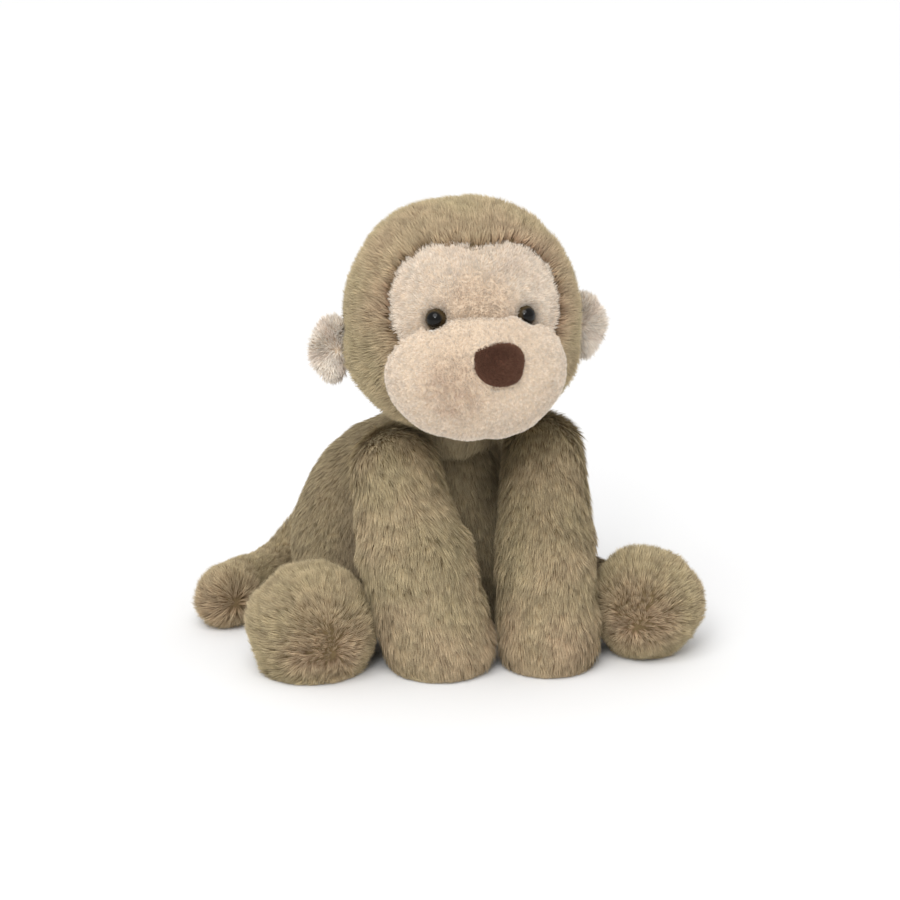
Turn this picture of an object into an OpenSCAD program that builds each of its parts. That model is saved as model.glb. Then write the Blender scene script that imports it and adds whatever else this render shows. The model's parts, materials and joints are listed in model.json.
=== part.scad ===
// Seated stuffed monkey, sewn from pile fabric and filled with fibre and pellets.
// The toy faces -Y, +Z is up, and the origin is the centre of the flat seat.
// Left and right are the toy's own: its left side is +X.

/* [Fabric] */
// Thickness of the fabric with its backing and flattened pile
wall = 3; // [2:0.5:4]
// Gap left between a fabric wall and what it holds
slack = 0.2; // [0.1:0.1:0.5]
// Running gap between sewn-on pieces that move
play = 0.5; // [0.3:0.1:1]

/* [Body] */
// Radius of the round seat end
seat_r = 68; // [60:1:70]
// Centre of the seat end
seat_at = [0, 0, 36]; // [-100:1:200]
// Radius of the chest end
chest_r = 33.5; // [28:0.5:36]
// Centre of the chest end
chest_at = [0, -38, 88]; // [-100:1:200]
// Radius of the flat panel that the toy sits on
seat_panel_r = 46; // [36:1:50]

/* [Neck] */
// Radius of the stuffed neck
neck_r = 28; // [26:1:32]
// Centre of the neck, on which the head turns and nods
neck_at = [0, -57, 130]; // [-100:1:200]

/* [Head] */
// Radius of the head
head_r = 57; // [54:1:60]
// Centre of the head
head_at = [0, -78, 175]; // [-100:1:250]
// How far the face is turned to the toy's left
head_yaw = -6; // [-10:1:10]
// Radius of the full lower cheeks
cheek_r = 45; // [40:0.5:46]
// Centre of a cheek from the head's centre, to the side, front and up
cheek_at = [12, 0, -10]; // [-20:0.5:20]
// Radius of the pale face patch, seen from the front
face_r = 32; // [28:1:46]
// Centre of the face patch from the head's centre, seen from the front
face_at = [-1, 0]; // [-10:0.5:10]
// Radius of the two round lobes along the patch's upper edge
lobe_r = 27; // [20:1:32]
// Centre of a lobe from the patch's centre, to the side and up
lobe_at = [11.5, 13]; // [0:0.5:30]

/* [Muzzle] */
// Half of the muzzle's width
muzzle_half = 44.5; // [40:0.5:48]
// Radius of the muzzle's round section
muzzle_r = 36; // [30:0.5:37]
// Centre of the muzzle from the head's centre
muzzle_at = [0, -36, -17.5]; // [-60:1:60]
// Width and height of the nose
nose_size = [23.5, 20]; // [16:0.5:30]
// Angle of the nose above the muzzle's foremost line
nose_rise = 14; // [0:1:40]
// How far the nose lies to the toy's left of the muzzle's middle
nose_shift = 5; // [-8:0.5:8]

/* [Eyes] */
// Radius of an eye's dome
eye_r = 5; // [3:0.1:6]
// Radius of an eye's shank
shank_r = 1.6; // [1:0.1:2.5]
// Radius of the washer that locks the shank
washer_r = 6.5; // [5:0.5:9]
// Where an eye lies from the head's centre, as a direction
eye_dir = [21.5, -50, 9.5]; // [-60:1:60]

/* [Ears] */
// Radius of the half-round ear
ear_r = 18; // [14:1:22]
// How far the ear's centre lies inside its root
ear_sink = 4; // [0:0.5:6]
// Thickness of the ear
ear_t = 7; // [5:0.5:9]
// Angle of the ear's root from the face's direction
ear_angle = 98; // [70:1:110]
// Height of each ear's centre from the head's centre, right then left
ear_drop = [-17, -10]; // [-22:1:10]

/* [Arms] */
// Radius of the right and left arm at the shoulder
shoulder_r = [21, 19.5]; // [15:0.5:22]
// Centre of the right and left shoulder ends
shoulder_at = [[-35, -80, 99], [43, -78, 101]]; // [-100:1:200]
// Radius of the right and left arm where it is fullest, half way down
elbow_r = [26.5, 23.5]; // [20:0.5:28]
// Centre of the right and left arm half way down
elbow_at = [[-30, -93, 62], [39, -94, 61]]; // [-100:0.5:200]
// Radius of the right and left arm at the paw
paw_r = [26.5, 24.5]; // [22:0.5:27]
// Centre of the right and left paw ends
paw_at = [[-17.5, -98, 15], [36.5, -109, 15]]; // [-150:0.5:150]
// Radius of the flat round panel under a paw
paw_panel_r = 17; // [12:0.5:19]

/* [Legs] */
// Radius of the right and left leg at the hip
hip_r = [15.5, 18]; // [12:0.5:20]
// Centre of the right and left hip ends
hip_at = [[-57.5, -60.5, 23], [59.5, -63, 27]]; // [-100:0.5:100]
// Radius of the right and left leg at the ankle
ankle_r = [15, 17]; // [11:0.5:20]
// Radius of the right and left ball-shaped foot
foot_r = [31, 27.5]; // [26:0.5:34]
// Centre of the right and left foot
foot_at = [[-78.5, -82.5, 21.5], [89.5, -103, 25]]; // [-150:0.5:150]
// Radius of the round sole panel
sole_r = 17; // [12:1:20]
// Direction that each sole faces, from straight ahead towards the toy's left
sole_yaw = [8, -30]; // [-60:1:60]

/* [Tail] */
// Centre of the tail's root, its bend and its tip
tail_points = [[-38.5, 69.5, 34], [-68, 53, 11], [-108, -6, 15]]; // [-150:0.5:150]
// Radius of the tail at its root, its bend and its tip
tail_r = [11, 10, 15.5]; // [8:0.5:18]

/* [Label] */
// Width, thickness and height of the folded care label
label_size = [22, 1.2, 28]; // [1:0.1:40]
// Direction of the label round the seat, from the toy's left
label_angle = 58; // [40:1:75]

/* [Hidden] */
sides = ["right", "left"];
$fn = 48;

brown = "#9b8a6b";
cream = "#dccbb4";
dark_brown = "#54352e";
fibre = "#f4f2ee";
bag_cloth = "#e8e2d4";

side_sign = [-1, 1];
big = 400;
arc_step = 7.5;
pellet_gap = 1;
eye_sink = 2.2;
shank_length = 9;
washer_t = 1.2;
bend_step = 0.6;
neck_hole_r = neck_r + play;
ear_bevel = 4;
ear_section = [[0, -ear_t / 2], [ear_r - ear_bevel, -ear_t / 2], [ear_r, 0], [ear_r - ear_bevel, ear_t / 2],
  [0, ear_t / 2]];

// Points of an arc about [0, height], from angle a to angle b
function arc(r, height, a, b) =
  let (n = max(2, ceil(abs(b - a) / arc_step)))
  [for (i = [0:n]) let (t = a + (b - a) * i / n) [r * cos(t), height + r * sin(t)]];

// Half outline of two round ends with a straight side that is tangent to both
function egg(r1, r2, span) =
  let (slope = asin((r1 - r2) / span))
  concat(arc(r1, 0, -90, slope), arc(r2, span, slope, 90));

// Half outline of the muzzle: a little fuller towards its ends than an ellipse
function pillow(half, r) =
  [for (t = [0:arc_step:180])
    let (c = cos(t), s = max(sin(t), 0)) [r * pow(s, 0.93), -half * sign(c) * pow(abs(c), 0.96)]];

// Rounded outline of the nose, narrower below
function nose_outline(w, h) =
  [for (t = [0:15:345])
    let (x = sign(cos(t)) * pow(abs(cos(t)), 0.75), y = sign(sin(t)) * pow(abs(sin(t)), 0.75))
    [w / 2 * x * (1 + 0.16 * y), h / 2 * y]];

module taper(r1, r2, span) {
  rotate_extrude() polygon(egg(r1, r2, span));
}

// Turns +Z of its children to run from p to q
module along(p, q) {
  d = q - p;
  translate(p) rotate([0, acos(d.z / norm(d)), atan2(d.y, d.x)]) children();
}

// A tapered round-ended solid between two points, drawn in by inset all over
module limb(p, q, r1, r2, inset = 0) {
  along(p, q) taper(r1 - inset, r2 - inset, norm(q - p));
}

// A limb that bends at its middle point
module bent_limb(points, radii, inset = 0) {
  limb(points[0], points[1], radii[0], radii[1], inset);
  limb(points[1], points[2], radii[1] + bend_step, radii[2], inset);
}

module ball(at, r) {
  translate(at) sphere(r = r);
}

// Everything above a height
module above(height) {
  translate([-big / 2, -big / 2, height]) cube(big);
}

module disc(at, r, height) {
  translate([at.x, at.y, 0]) cylinder(r = r, h = height);
}

// ---- Body ----

module body_form(inset = 0) {
  intersection() {
    limb(seat_at, chest_at, seat_r, chest_r, inset);
    above(inset);
  }
}

module body_wall() {
  difference() {
    body_form();
    body_form(wall);
    disc(seat_at, seat_panel_r + slack, wall * 2);
    ball(neck_at, neck_hole_r);
  }
}

module front_of_seam() {
  translate([-big / 2, seat_at.y - big, -1]) cube(big);
}

module body_front_panel() {
  color(brown) intersection() {
    body_wall();
    front_of_seam();
  }
}

module body_back_panel() {
  color(brown) difference() {
    body_wall();
    front_of_seam();
  }
}

module seat_panel() {
  color(brown) disc(seat_at, seat_panel_r, wall);
}

module seat_bag_form(grow = 0) {
  translate([seat_at.x, seat_at.y, wall + pellet_gap - grow])
    cylinder(r = seat_panel_r - 4 + grow, h = 20 + 2 * grow);
}

module body_stuffing() {
  color(fibre) difference() {
    body_form(wall + slack);
    seat_bag_form(slack);
    ball(neck_at, neck_hole_r + wall);
  }
}

module seat_pellet_bag() {
  color(bag_cloth) seat_bag_form();
}

module care_label() {
  color("white") translate([seat_at.x, seat_at.y, 0]) rotate(label_angle - 90)
    translate([-label_size.x / 2, seat_r + play, 14]) cube(label_size);
}

// ---- Neck ----

module neck_shell() {
  color(brown) difference() {
    ball(neck_at, neck_r);
    ball(neck_at, neck_r - wall);
  }
}

module neck_stuffing() {
  color(fibre) ball(neck_at, neck_r - wall - slack);
}

// ---- Head ----

// Places what is drawn about the head's centre, with the face towards -Y
module on_head() {
  translate(head_at) rotate(head_yaw) children();
}

module neck_socket(grow = 0) {
  ball(neck_at, neck_hole_r + grow);
}

// A straight bar towards the front with the outline of the face patch
module face_bar(grow = 0) {
  on_head() rotate([90, 0, 0]) linear_extrude(head_r * 2) translate(face_at) {
    circle(face_r + grow);
    for (s = side_sign) translate([s * lobe_at.x, lobe_at.y]) circle(lobe_r + grow);
  }
}

module head_form(inset = 0) {
  ball(head_at, head_r - inset);
  for (s = side_sign) on_head() ball([s * cheek_at.x, cheek_at.y, cheek_at.z], cheek_r - inset);
}

module head_wall() {
  difference() {
    head_form();
    head_form(wall);
    neck_socket();
  }
}

module head_shell() {
  color(brown) difference() {
    head_wall();
    face_bar(slack / 2);
  }
}

// +Z runs out through the eye on this side
module on_eye(side) {
  d = [side_sign[side] * eye_dir.x, eye_dir.y, eye_dir.z];
  on_head() along([0, 0, 0], d) children();
}

module eye_seat(side) {
  on_eye(side) {
    translate([0, 0, head_r - eye_sink]) cylinder(r = eye_r + slack, h = eye_r * 2);
    translate([0, 0, head_r - eye_sink - shank_length]) cylinder(r = shank_r + 0.1, h = shank_length + 1);
  }
}

module face_panel() {
  color(cream) difference() {
    intersection() {
      head_wall();
      face_bar();
    }
    for (side = [0, 1]) eye_seat(side);
  }
}

module eye(side) {
  color("#16100c") on_eye(side) {
    translate([0, 0, head_r - eye_sink]) difference() {
      sphere(r = eye_r);
      translate([0, 0, -big / 2]) cube(big, center = true);
    }
    translate([0, 0, head_r - eye_sink - shank_length + 0.1])
      cylinder(r = shank_r, h = shank_length - 0.1);
  }
}

module washer_blank(side, grow = 0) {
  on_eye(side) translate([0, 0, head_r - wall - slack - washer_t - 2 - grow])
    cylinder(r = washer_r + grow, h = washer_t + 2 * grow);
}

module eye_washer(side) {
  color("white") difference() {
    washer_blank(side);
    on_eye(side) cylinder(r = shank_r + 0.05, h = head_r);
  }
}

module head_stuffing() {
  color(fibre) difference() {
    head_form(wall + slack);
    neck_socket(wall);
    for (side = [0, 1]) {
      eye_seat(side);
      washer_blank(side, slack);
    }
  }
}

// The whole muzzle pillow, with its long axis from side to side
module muzzle_form(inset = 0) {
  on_head() translate(muzzle_at) rotate([0, 90, 0])
    rotate_extrude() polygon(pillow(muzzle_half - inset, muzzle_r - inset));
}

// +Z runs out through the nose
module on_nose() {
  on_head() translate(muzzle_at + [nose_shift, 0, 0]) rotate([90 - nose_rise, 0, 0]) children();
}

module nose_blank(grow = 0) {
  on_nose() translate([0, 0, muzzle_r - 4 - grow]) linear_extrude(7 + grow)
    polygon(nose_outline(nose_size.x + 2 * grow, nose_size.y + 2 * grow));
}

module muzzle_shell() {
  color(cream) difference() {
    muzzle_form();
    muzzle_form(wall);
    head_form(-slack);
    nose_blank(slack);
    for (side = [0, 1]) eye_seat(side);
  }
}

module muzzle_stuffing() {
  color(fibre) difference() {
    muzzle_form(wall + slack);
    head_form(-slack);
    nose_blank(slack);
    for (side = [0, 1]) eye_seat(side);
  }
}

module nose() {
  color(dark_brown) intersection() {
    nose_blank();
    on_nose() translate([0, 0, muzzle_r - 17]) sphere(r = 20);
  }
}

// ---- Ears ----

// +X runs out of the head at the ear's root, which lies along Z, and -Y is the ear's front
module on_ear(side) {
  s = side_sign[side];
  root = head_r + ear_t / 2 + play;
  on_head() rotate(s * (ear_angle - 90) + (s < 0 ? 180 : 0))
    translate([root, 0, ear_drop[side]]) children();
}

module ear_form() {
  root_half = sqrt(ear_r * ear_r - ear_sink * ear_sink) - ear_bevel;
  rotate([90, 0, 0]) intersection() {
    translate([-ear_sink, 0, 0]) rotate_extrude() polygon(ear_section);
    translate([0, -big / 2, -big / 2]) cube(big);
  }
  translate([0, 0, -root_half]) cylinder(r = ear_t / 2, h = 2 * root_half);
}

// Keeps the half of an ear that faces the toy's front or its back
module ear_half(side, front) {
  s = side_sign[side];
  y_low = (front == (s > 0)) ? -big : 0;
  color(cream) on_ear(side) intersection() {
    ear_form();
    translate([-big / 2, y_low, -big / 2]) cube(big);
  }
}

// ---- Arms ----

module arm_form(side, inset = 0) {
  intersection() {
    bent_limb([shoulder_at[side], elbow_at[side], paw_at[side]],
      [shoulder_r[side], elbow_r[side], paw_r[side]], inset);
    above(inset);
  }
}

module arm_shell(side) {
  color(brown) difference() {
    arm_form(side);
    arm_form(side, wall);
    disc(paw_at[side], paw_panel_r + slack, wall * 2);
  }
}

module paw_panel(side) {
  color(brown) disc(paw_at[side], paw_panel_r, wall);
}

module paw_bag_form(side, grow = 0) {
  translate([paw_at[side].x, paw_at[side].y, wall + pellet_gap - grow])
    cylinder(r = paw_panel_r - 2 + grow, h = 18 + 2 * grow);
}

module arm_stuffing(side) {
  color(fibre) difference() {
    arm_form(side, wall + slack);
    paw_bag_form(side, slack);
  }
}

module paw_pellet_bag(side) {
  color(bag_cloth) paw_bag_form(side);
}

// ---- Legs ----

module foot_form(side, inset = 0) {
  intersection() {
    ball(foot_at[side], foot_r[side] - inset);
    above(inset);
  }
}

module leg_form(side, inset = 0) {
  intersection() {
    limb(hip_at[side], foot_at[side] - [0, 0, 6], hip_r[side], ankle_r[side], inset);
    above(inset);
  }
}

module leg_shell(side) {
  color(brown) difference() {
    leg_form(side);
    leg_form(side, wall);
    ball(foot_at[side], foot_r[side] + slack);
  }
}

module leg_stuffing(side) {
  color(fibre) difference() {
    leg_form(side, wall + slack);
    ball(foot_at[side], foot_r[side] + slack);
  }
}

module sole_bar(side, grow = 0) {
  translate(foot_at[side]) rotate([0, 0, sole_yaw[side]]) rotate([90, 0, 0])
    cylinder(r = sole_r + grow, h = foot_r[side] * 2);
}

module foot_wall(side) {
  difference() {
    foot_form(side);
    foot_form(side, wall);
  }
}

module foot_shell(side) {
  color(brown) difference() {
    foot_wall(side);
    sole_bar(side, slack / 2);
  }
}

module sole_panel(side) {
  color(brown) intersection() {
    foot_wall(side);
    sole_bar(side);
  }
}

module foot_bag_form(side, grow = 0) {
  ball(foot_at[side] - [0, 0, 4], foot_r[side] * 0.42 + grow);
}

module foot_stuffing(side) {
  color(fibre) difference() {
    foot_form(side, wall + slack);
    foot_bag_form(side, slack);
  }
}

module foot_pellet_bag(side) {
  color(bag_cloth) foot_bag_form(side);
}

// ---- Tail ----

module tail_form(inset = 0) {
  bent_limb(tail_points, tail_r, inset);
}

module tail_shell() {
  color(brown) difference() {
    tail_form();
    tail_form(wall);
  }
}

module tail_stuffing() {
  color(fibre) tail_form(wall + slack);
}

body_front_panel();
body_back_panel();
seat_panel();
body_stuffing();
seat_pellet_bag();
care_label();
neck_shell();
neck_stuffing();
head_shell();
face_panel();
muzzle_shell();
nose();
head_stuffing();
muzzle_stuffing();
for (side = [0, 1]) {
  eye(side);
  eye_washer(side);
  ear_half(side, true);
  ear_half(side, false);
  arm_shell(side);
  paw_panel(side);
  arm_stuffing(side);
  paw_pellet_bag(side);
  leg_shell(side);
  leg_stuffing(side);
  foot_shell(side);
  sole_panel(side);
  foot_stuffing(side);
  foot_pellet_bag(side);
}
tail_shell();
tail_stuffing();
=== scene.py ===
import json
import math
import bpy
import bmesh
import numpy as np
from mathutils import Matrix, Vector, noise


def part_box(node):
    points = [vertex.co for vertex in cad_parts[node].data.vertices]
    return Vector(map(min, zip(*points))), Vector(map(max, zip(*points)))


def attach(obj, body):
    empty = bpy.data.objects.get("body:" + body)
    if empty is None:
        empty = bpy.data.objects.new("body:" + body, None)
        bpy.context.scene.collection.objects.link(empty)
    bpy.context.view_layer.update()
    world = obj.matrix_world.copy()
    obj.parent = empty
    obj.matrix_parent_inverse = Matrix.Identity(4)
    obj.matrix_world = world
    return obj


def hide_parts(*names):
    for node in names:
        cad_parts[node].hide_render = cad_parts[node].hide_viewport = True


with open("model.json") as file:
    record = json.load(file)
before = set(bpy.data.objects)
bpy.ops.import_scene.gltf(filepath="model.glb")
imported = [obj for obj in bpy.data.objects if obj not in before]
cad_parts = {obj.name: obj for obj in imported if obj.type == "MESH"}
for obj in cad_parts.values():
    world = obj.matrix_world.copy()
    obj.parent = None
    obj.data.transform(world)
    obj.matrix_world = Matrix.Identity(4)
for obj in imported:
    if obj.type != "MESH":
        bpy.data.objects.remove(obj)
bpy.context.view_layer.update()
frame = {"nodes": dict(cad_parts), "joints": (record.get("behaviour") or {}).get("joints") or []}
nodes = frame["nodes"]
joints = {joint["name"]: joint for joint in frame["joints"]}
scene = bpy.context.scene
sides = ("right", "left")
print("frame loaded:", len(nodes), "nodes")


# Places, all read from the frame

def centreOf(node):
    low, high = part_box(node)
    return np.array((low + high) / 2)


def pivotOf(joint):
    return np.array(joints[joint]["pos_m"])


def unit(v):
    return v / np.maximum(np.linalg.norm(v, axis=-1, keepdims=True), 1e-9)


def smoothStep(low, high, x):
    t = np.clip((x - low) / (high - low), 0, 1)
    return t * t * (3 - 2 * t)


# the head is a ball, so its centre lies one radius under its top
headLow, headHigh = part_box("head_shell")
headCentre = centreOf("head_stuffing")
headCentre[2] = headHigh.z - (headHigh.x - headLow.x) / 2
faceCentre = centreOf("face_panel")
noseCentre = centreOf("nose")
muzzleCentre = centreOf("muzzle_shell")
eyeCentres = [centreOf("eye_" + side) for side in sides]
faceAhead = unit(((eyeCentres[0] + eyeCentres[1]) / 2 - headCentre) * (1, 1, 0))
faceAcross = np.array((-faceAhead[1], faceAhead[0], 0))


# Shared shader groups

def newGroup(name, inputs, outputs):
    group = bpy.data.node_groups.new(name, "ShaderNodeTree")
    for socketName, kind, value in inputs:
        socket = group.interface.new_socket(socketName, in_out="INPUT", socket_type=kind)
        socket.default_value = value
    for socketName, kind in outputs:
        group.interface.new_socket(socketName, in_out="OUTPUT", socket_type=kind)
    return group, group.nodes.new("NodeGroupInput"), group.nodes.new("NodeGroupOutput")


def mixColour(tree, factor, first, second, blend="MIX"):
    mix = tree.nodes.new("ShaderNodeMix")
    mix.data_type = "RGBA"
    mix.blend_type = blend
    for socket, value in ((mix.inputs["Factor"], factor), (mix.inputs[6], first), (mix.inputs[7], second)):
        if isinstance(value, bpy.types.NodeSocket):
            tree.links.new(value, socket)
        else:
            socket.default_value = value
    return mix.outputs[2]


def mapRange(tree, value, low, high, toLow=0.0, toHigh=1.0):
    node = tree.nodes.new("ShaderNodeMapRange")
    tree.links.new(value, node.inputs["Value"])
    node.inputs["From Min"].default_value = low
    node.inputs["From Max"].default_value = high
    node.inputs["To Min"].default_value = toLow
    node.inputs["To Max"].default_value = toHigh
    return node.outputs["Result"]


def maths(tree, operation, first, second):
    node = tree.nodes.new("ShaderNodeMath")
    node.operation = operation
    for socket, value in zip(node.inputs, (first, second)):
        if isinstance(value, float):
            socket.default_value = value
        else:
            tree.links.new(value, socket)
    return node.outputs[0]


def buildMottle():
    # broad and fine patches of a second tint, fixed to the piece
    group, inside, outside = newGroup(
        "pile mottle",
        [("Base", "NodeSocketColor", (0.3, 0.25, 0.2, 1)), ("Tint", "NodeSocketColor", (0.5, 0.4, 0.3, 1)),
         ("Broad Scale", "NodeSocketFloat", 30.0), ("Fine Scale", "NodeSocketFloat", 190.0),
         ("Strength", "NodeSocketFloat", 0.5)],
        [("Color", "NodeSocketColor")])
    coords = group.nodes.new("ShaderNodeTexCoord")
    patches = []
    for scaleName, detail in (("Broad Scale", 3.0), ("Fine Scale", 2.0)):
        texture = group.nodes.new("ShaderNodeTexNoise")
        texture.inputs["Detail"].default_value = detail
        group.links.new(coords.outputs["Object"], texture.inputs["Vector"])
        group.links.new(inside.outputs[scaleName], texture.inputs["Scale"])
        patches.append(mapRange(group, texture.outputs["Fac"], low=0.35, high=0.65))
    both = maths(group, "MULTIPLY", maths(group, "ADD", *patches), 0.5)
    amount = maths(group, "MULTIPLY", both, inside.outputs["Strength"])
    colour = mixColour(group, amount, inside.outputs["Base"], inside.outputs["Tint"])
    group.links.new(colour, outside.inputs["Color"])
    return group


mottle = buildMottle()


def newMaterial(name, roughness, sheen=0.0, sheenTint=(1, 1, 1, 1), sheenRoughness=0.5):
    material = bpy.data.materials.new(name)
    material.use_nodes = True
    shader = material.node_tree.nodes["Principled BSDF"]
    shader.inputs["Roughness"].default_value = roughness
    shader.inputs["Sheen Weight"].default_value = sheen
    shader.inputs["Sheen Tint"].default_value = sheenTint
    shader.inputs["Sheen Roughness"].default_value = sheenRoughness
    shader.inputs["Specular IOR Level"].default_value = 0.25
    return material, material.node_tree, shader


def attributeValue(tree, name):
    node = tree.nodes.new("ShaderNodeAttribute")
    node.attribute_name = name
    return node.outputs["Fac"]


def placeMottle(tree, look):
    node = tree.nodes.new("ShaderNodeGroup")
    node.node_tree = mottle
    node.inputs["Base"].default_value = (*look["base"], 1)
    node.inputs["Tint"].default_value = (*look["tint"], 1)
    node.inputs["Broad Scale"].default_value = look["broadScale"]
    node.inputs["Fine Scale"].default_value = look["fineScale"]
    node.inputs["Strength"].default_value = look["strength"]
    return node


def pileMaterial(name, look):
    # strands: darkened at the root with painted shade deep in the pile, lighter at the tip, each lock a
    # little different; a second, darker colour adds painted shade, and the airbrushed tint round the eyes
    material, tree, shader = newMaterial(
        name, roughness=0.85, sheen=look["sheen"], sheenTint=(*look["tip"], 1), sheenRoughness=0.45)
    patches = placeMottle(tree, look)
    warmedAndShaded = mixColour(tree, attributeValue(tree, "warm"), patches.outputs["Color"], (*look["warm"], 1))
    rootShade = mixColour(tree, 1.0, warmedAndShaded, (*look["rootShade"], 1), "MULTIPLY")
    grown = mapRange(tree, attributeValue(tree, "along"), low=0.0, high=0.75)
    body = mixColour(tree, grown, rootShade, warmedAndShaded)
    tipAmount = mapRange(
        tree, attributeValue(tree, "along"), low=0.45, high=1.0, toLow=0.0, toHigh=look["tipAmount"])
    tipped = mixColour(tree, tipAmount, body, (*look["tip"], 1))
    lockShade = mapRange(tree, attributeValue(tree, "shade"), low=0.0, high=1.0,
                         toLow=look["darkLock"], toHigh=look["lightLock"])
    grey = tree.nodes.new("ShaderNodeCombineColor")
    for socket in grey.inputs:
        tree.links.new(lockShade, socket)
    locked = mixColour(tree, 1.0, tipped, grey.outputs[0], "MULTIPLY")
    shadedAndAirbrushed = mixColour(tree, attributeValue(tree, "smudge"), locked, (*look["smudge"], 1))
    tree.links.new(shadedAndAirbrushed, shader.inputs["Base Color"])
    return material


def skinMaterial(name, look, weaveScale=900.0):
    # the woven backing and flattened pile under the strands, darkened with painted shade so the gaps between
    # strands read as shadowed pile; a second, darker colour adds painted shade, and the airbrushed tint round
    # the eyes
    material, tree, shader = newMaterial(name, roughness=0.95)
    patches = placeMottle(tree, look)
    backing = mixColour(tree, 1.0, patches.outputs["Color"], (*look["rootShade"], 1), "MULTIPLY")
    shadedAndAirbrushed = mixColour(tree, attributeValue(tree, "smudge"), backing, (*look["smudge"], 1))
    tree.links.new(shadedAndAirbrushed, shader.inputs["Base Color"])
    coords = tree.nodes.new("ShaderNodeTexCoord")
    texture = tree.nodes.new("ShaderNodeTexNoise")
    texture.inputs["Scale"].default_value = weaveScale
    tree.links.new(coords.outputs["Object"], texture.inputs["Vector"])
    bump = tree.nodes.new("ShaderNodeBump")
    bump.inputs["Strength"].default_value = 0.6
    bump.inputs["Distance"].default_value = 0.0008
    tree.links.new(texture.outputs["Fac"], bump.inputs["Height"])
    tree.links.new(bump.outputs["Normal"], shader.inputs["Normal"])
    return material


# in each look, the root colour darkens with painted shade deep in the pile, the darker second colour gives
# painted shade on the brown pieces and the airbrushed tint round the eyes on the cream face, and the warm
# colour also gives painted shade in the ear folds
brownLook = dict(
    base=(0.375, 0.300, 0.162), tint=(0.47, 0.345, 0.205), tip=(0.70, 0.60, 0.40),
    rootShade=(0.50, 0.45, 0.40), warm=(0.47, 0.31, 0.205), smudge=(0.2, 0.15, 0.1),
    broadScale=38.0, fineScale=210.0, strength=0.45, tipAmount=0.55, darkLock=0.7, lightLock=1.26,
    sheen=0.35)
creamLook = dict(
    base=(0.90, 0.80, 0.675), tint=(0.80, 0.67, 0.54), tip=(0.96, 0.91, 0.83),
    rootShade=(0.80, 0.73, 0.65), warm=(0.62, 0.42, 0.29), smudge=(0.13, 0.105, 0.09),
    broadScale=60.0, fineScale=260.0, strength=0.4, tipAmount=0.5, darkLock=0.76, lightLock=1.12, sheen=0.25)
# a lighter copy of the cream pile for the ears, with less darkening at the root: painted light on the ears
litEarLook = dict(
    creamLook, base=(0.95, 0.87, 0.76), tint=(0.88, 0.77, 0.65), tip=(0.97, 0.93, 0.87),
    rootShade=(0.90, 0.86, 0.82))
noseLook = dict(
    base=(0.125, 0.056, 0.034), tint=(0.18, 0.085, 0.052), tip=(0.23, 0.12, 0.08),
    rootShade=(0.75, 0.7, 0.7), warm=(0.12, 0.05, 0.04), smudge=(0.04, 0.02, 0.015),
    broadScale=120.0, fineScale=700.0, strength=0.7, tipAmount=0.35, darkLock=0.85, lightLock=1.1, sheen=0.15)

brownPile = pileMaterial("brown pile", brownLook)
litEarPile = pileMaterial("ear pile", litEarLook)
creamPile = pileMaterial("cream pile", creamLook)
noseSuede = pileMaterial("nose suede nap", noseLook)
noseBacking = skinMaterial("nose suede", noseLook, weaveScale=2600.0)
brownBacking = skinMaterial("brown backing", brownLook)
creamBacking = skinMaterial("cream backing", creamLook)


# Meshes and their attributes

def newObject(name, mesh, material=None):
    piece = bpy.data.objects.new(name, mesh)
    scene.collection.objects.link(piece)
    if material:
        mesh.materials.clear()
        mesh.materials.append(material)
    return piece


def coordsOf(mesh):
    co = np.empty(len(mesh.vertices) * 3)
    mesh.vertices.foreach_get("co", co)
    return co.reshape(-1, 3)


def normalsOf(mesh):
    normals = np.empty(len(mesh.vertices) * 3)
    mesh.vertex_normals.foreach_get("vector", normals)
    return normals.reshape(-1, 3)


def edgesOf(mesh):
    edges = np.empty(len(mesh.edges) * 2, dtype=int)
    mesh.edges.foreach_get("vertices", edges)
    return edges.reshape(-1, 2)


def setCoords(mesh, co):
    mesh.vertices.foreach_set("co", np.ascontiguousarray(co, dtype=np.float32).ravel())
    mesh.update()


def setAttribute(mesh, name, values):
    kind, field = ("FLOAT_VECTOR", "vector") if values.ndim == 2 else ("FLOAT", "value")
    attribute = mesh.attributes.get(name) or mesh.attributes.new(name, kind, "POINT")
    attribute.data.foreach_set(field, np.ascontiguousarray(values, dtype=np.float32).ravel())


def evaluated(piece):
    # the mesh with its modifiers applied, as a plain mesh of its own
    depsgraph = bpy.context.evaluated_depsgraph_get()
    mesh = bpy.data.meshes.new_from_object(piece.evaluated_get(depsgraph), depsgraph=depsgraph)
    mesh.name = piece.name
    return mesh


def relaxed(co, edges, times, amount=0.5):
    count = np.bincount(edges.ravel(), minlength=len(co))[:, None]
    for _ in range(times):
        total = np.zeros_like(co)
        np.add.at(total, edges[:, 0], co[edges[:, 1]])
        np.add.at(total, edges[:, 1], co[edges[:, 0]])
        co = co + (total / np.maximum(count, 1) - co) * amount
    return co


def waves(co, size, seed):
    # smooth noise of about plus or minus one, with bumps of the given size
    offset = Vector((seed * 7.3, seed * 3.1, seed * 5.7))
    toUnitHeight = 1.6
    return np.array([noise.noise(Vector(p) / size + offset) for p in co]) * toUnitHeight


def keepLargest(form):
    # leaves only the outermost skin of a remeshed solid
    form.verts.ensure_lookup_table()
    left = set(form.verts)
    islands = []
    while left:
        stack = [left.pop()]
        island = list(stack)
        while stack:
            for edge in stack.pop().link_edges:
                for vert in edge.verts:
                    if vert in left:
                        left.remove(vert)
                        island.append(vert)
                        stack.append(vert)
        islands.append(island)
    islands.sort(key=len)
    bmesh.ops.delete(form, geom=[v for island in islands[:-1] for v in island], context="VERTS")


# heights over which skins leave the flat of the ground, and over which strands begin
groundRoom = dict(skin=(0.001, 0.006), strands=(0.0006, 0.0025), lowest=0.0002, lowestStrand=0.0003)


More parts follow.
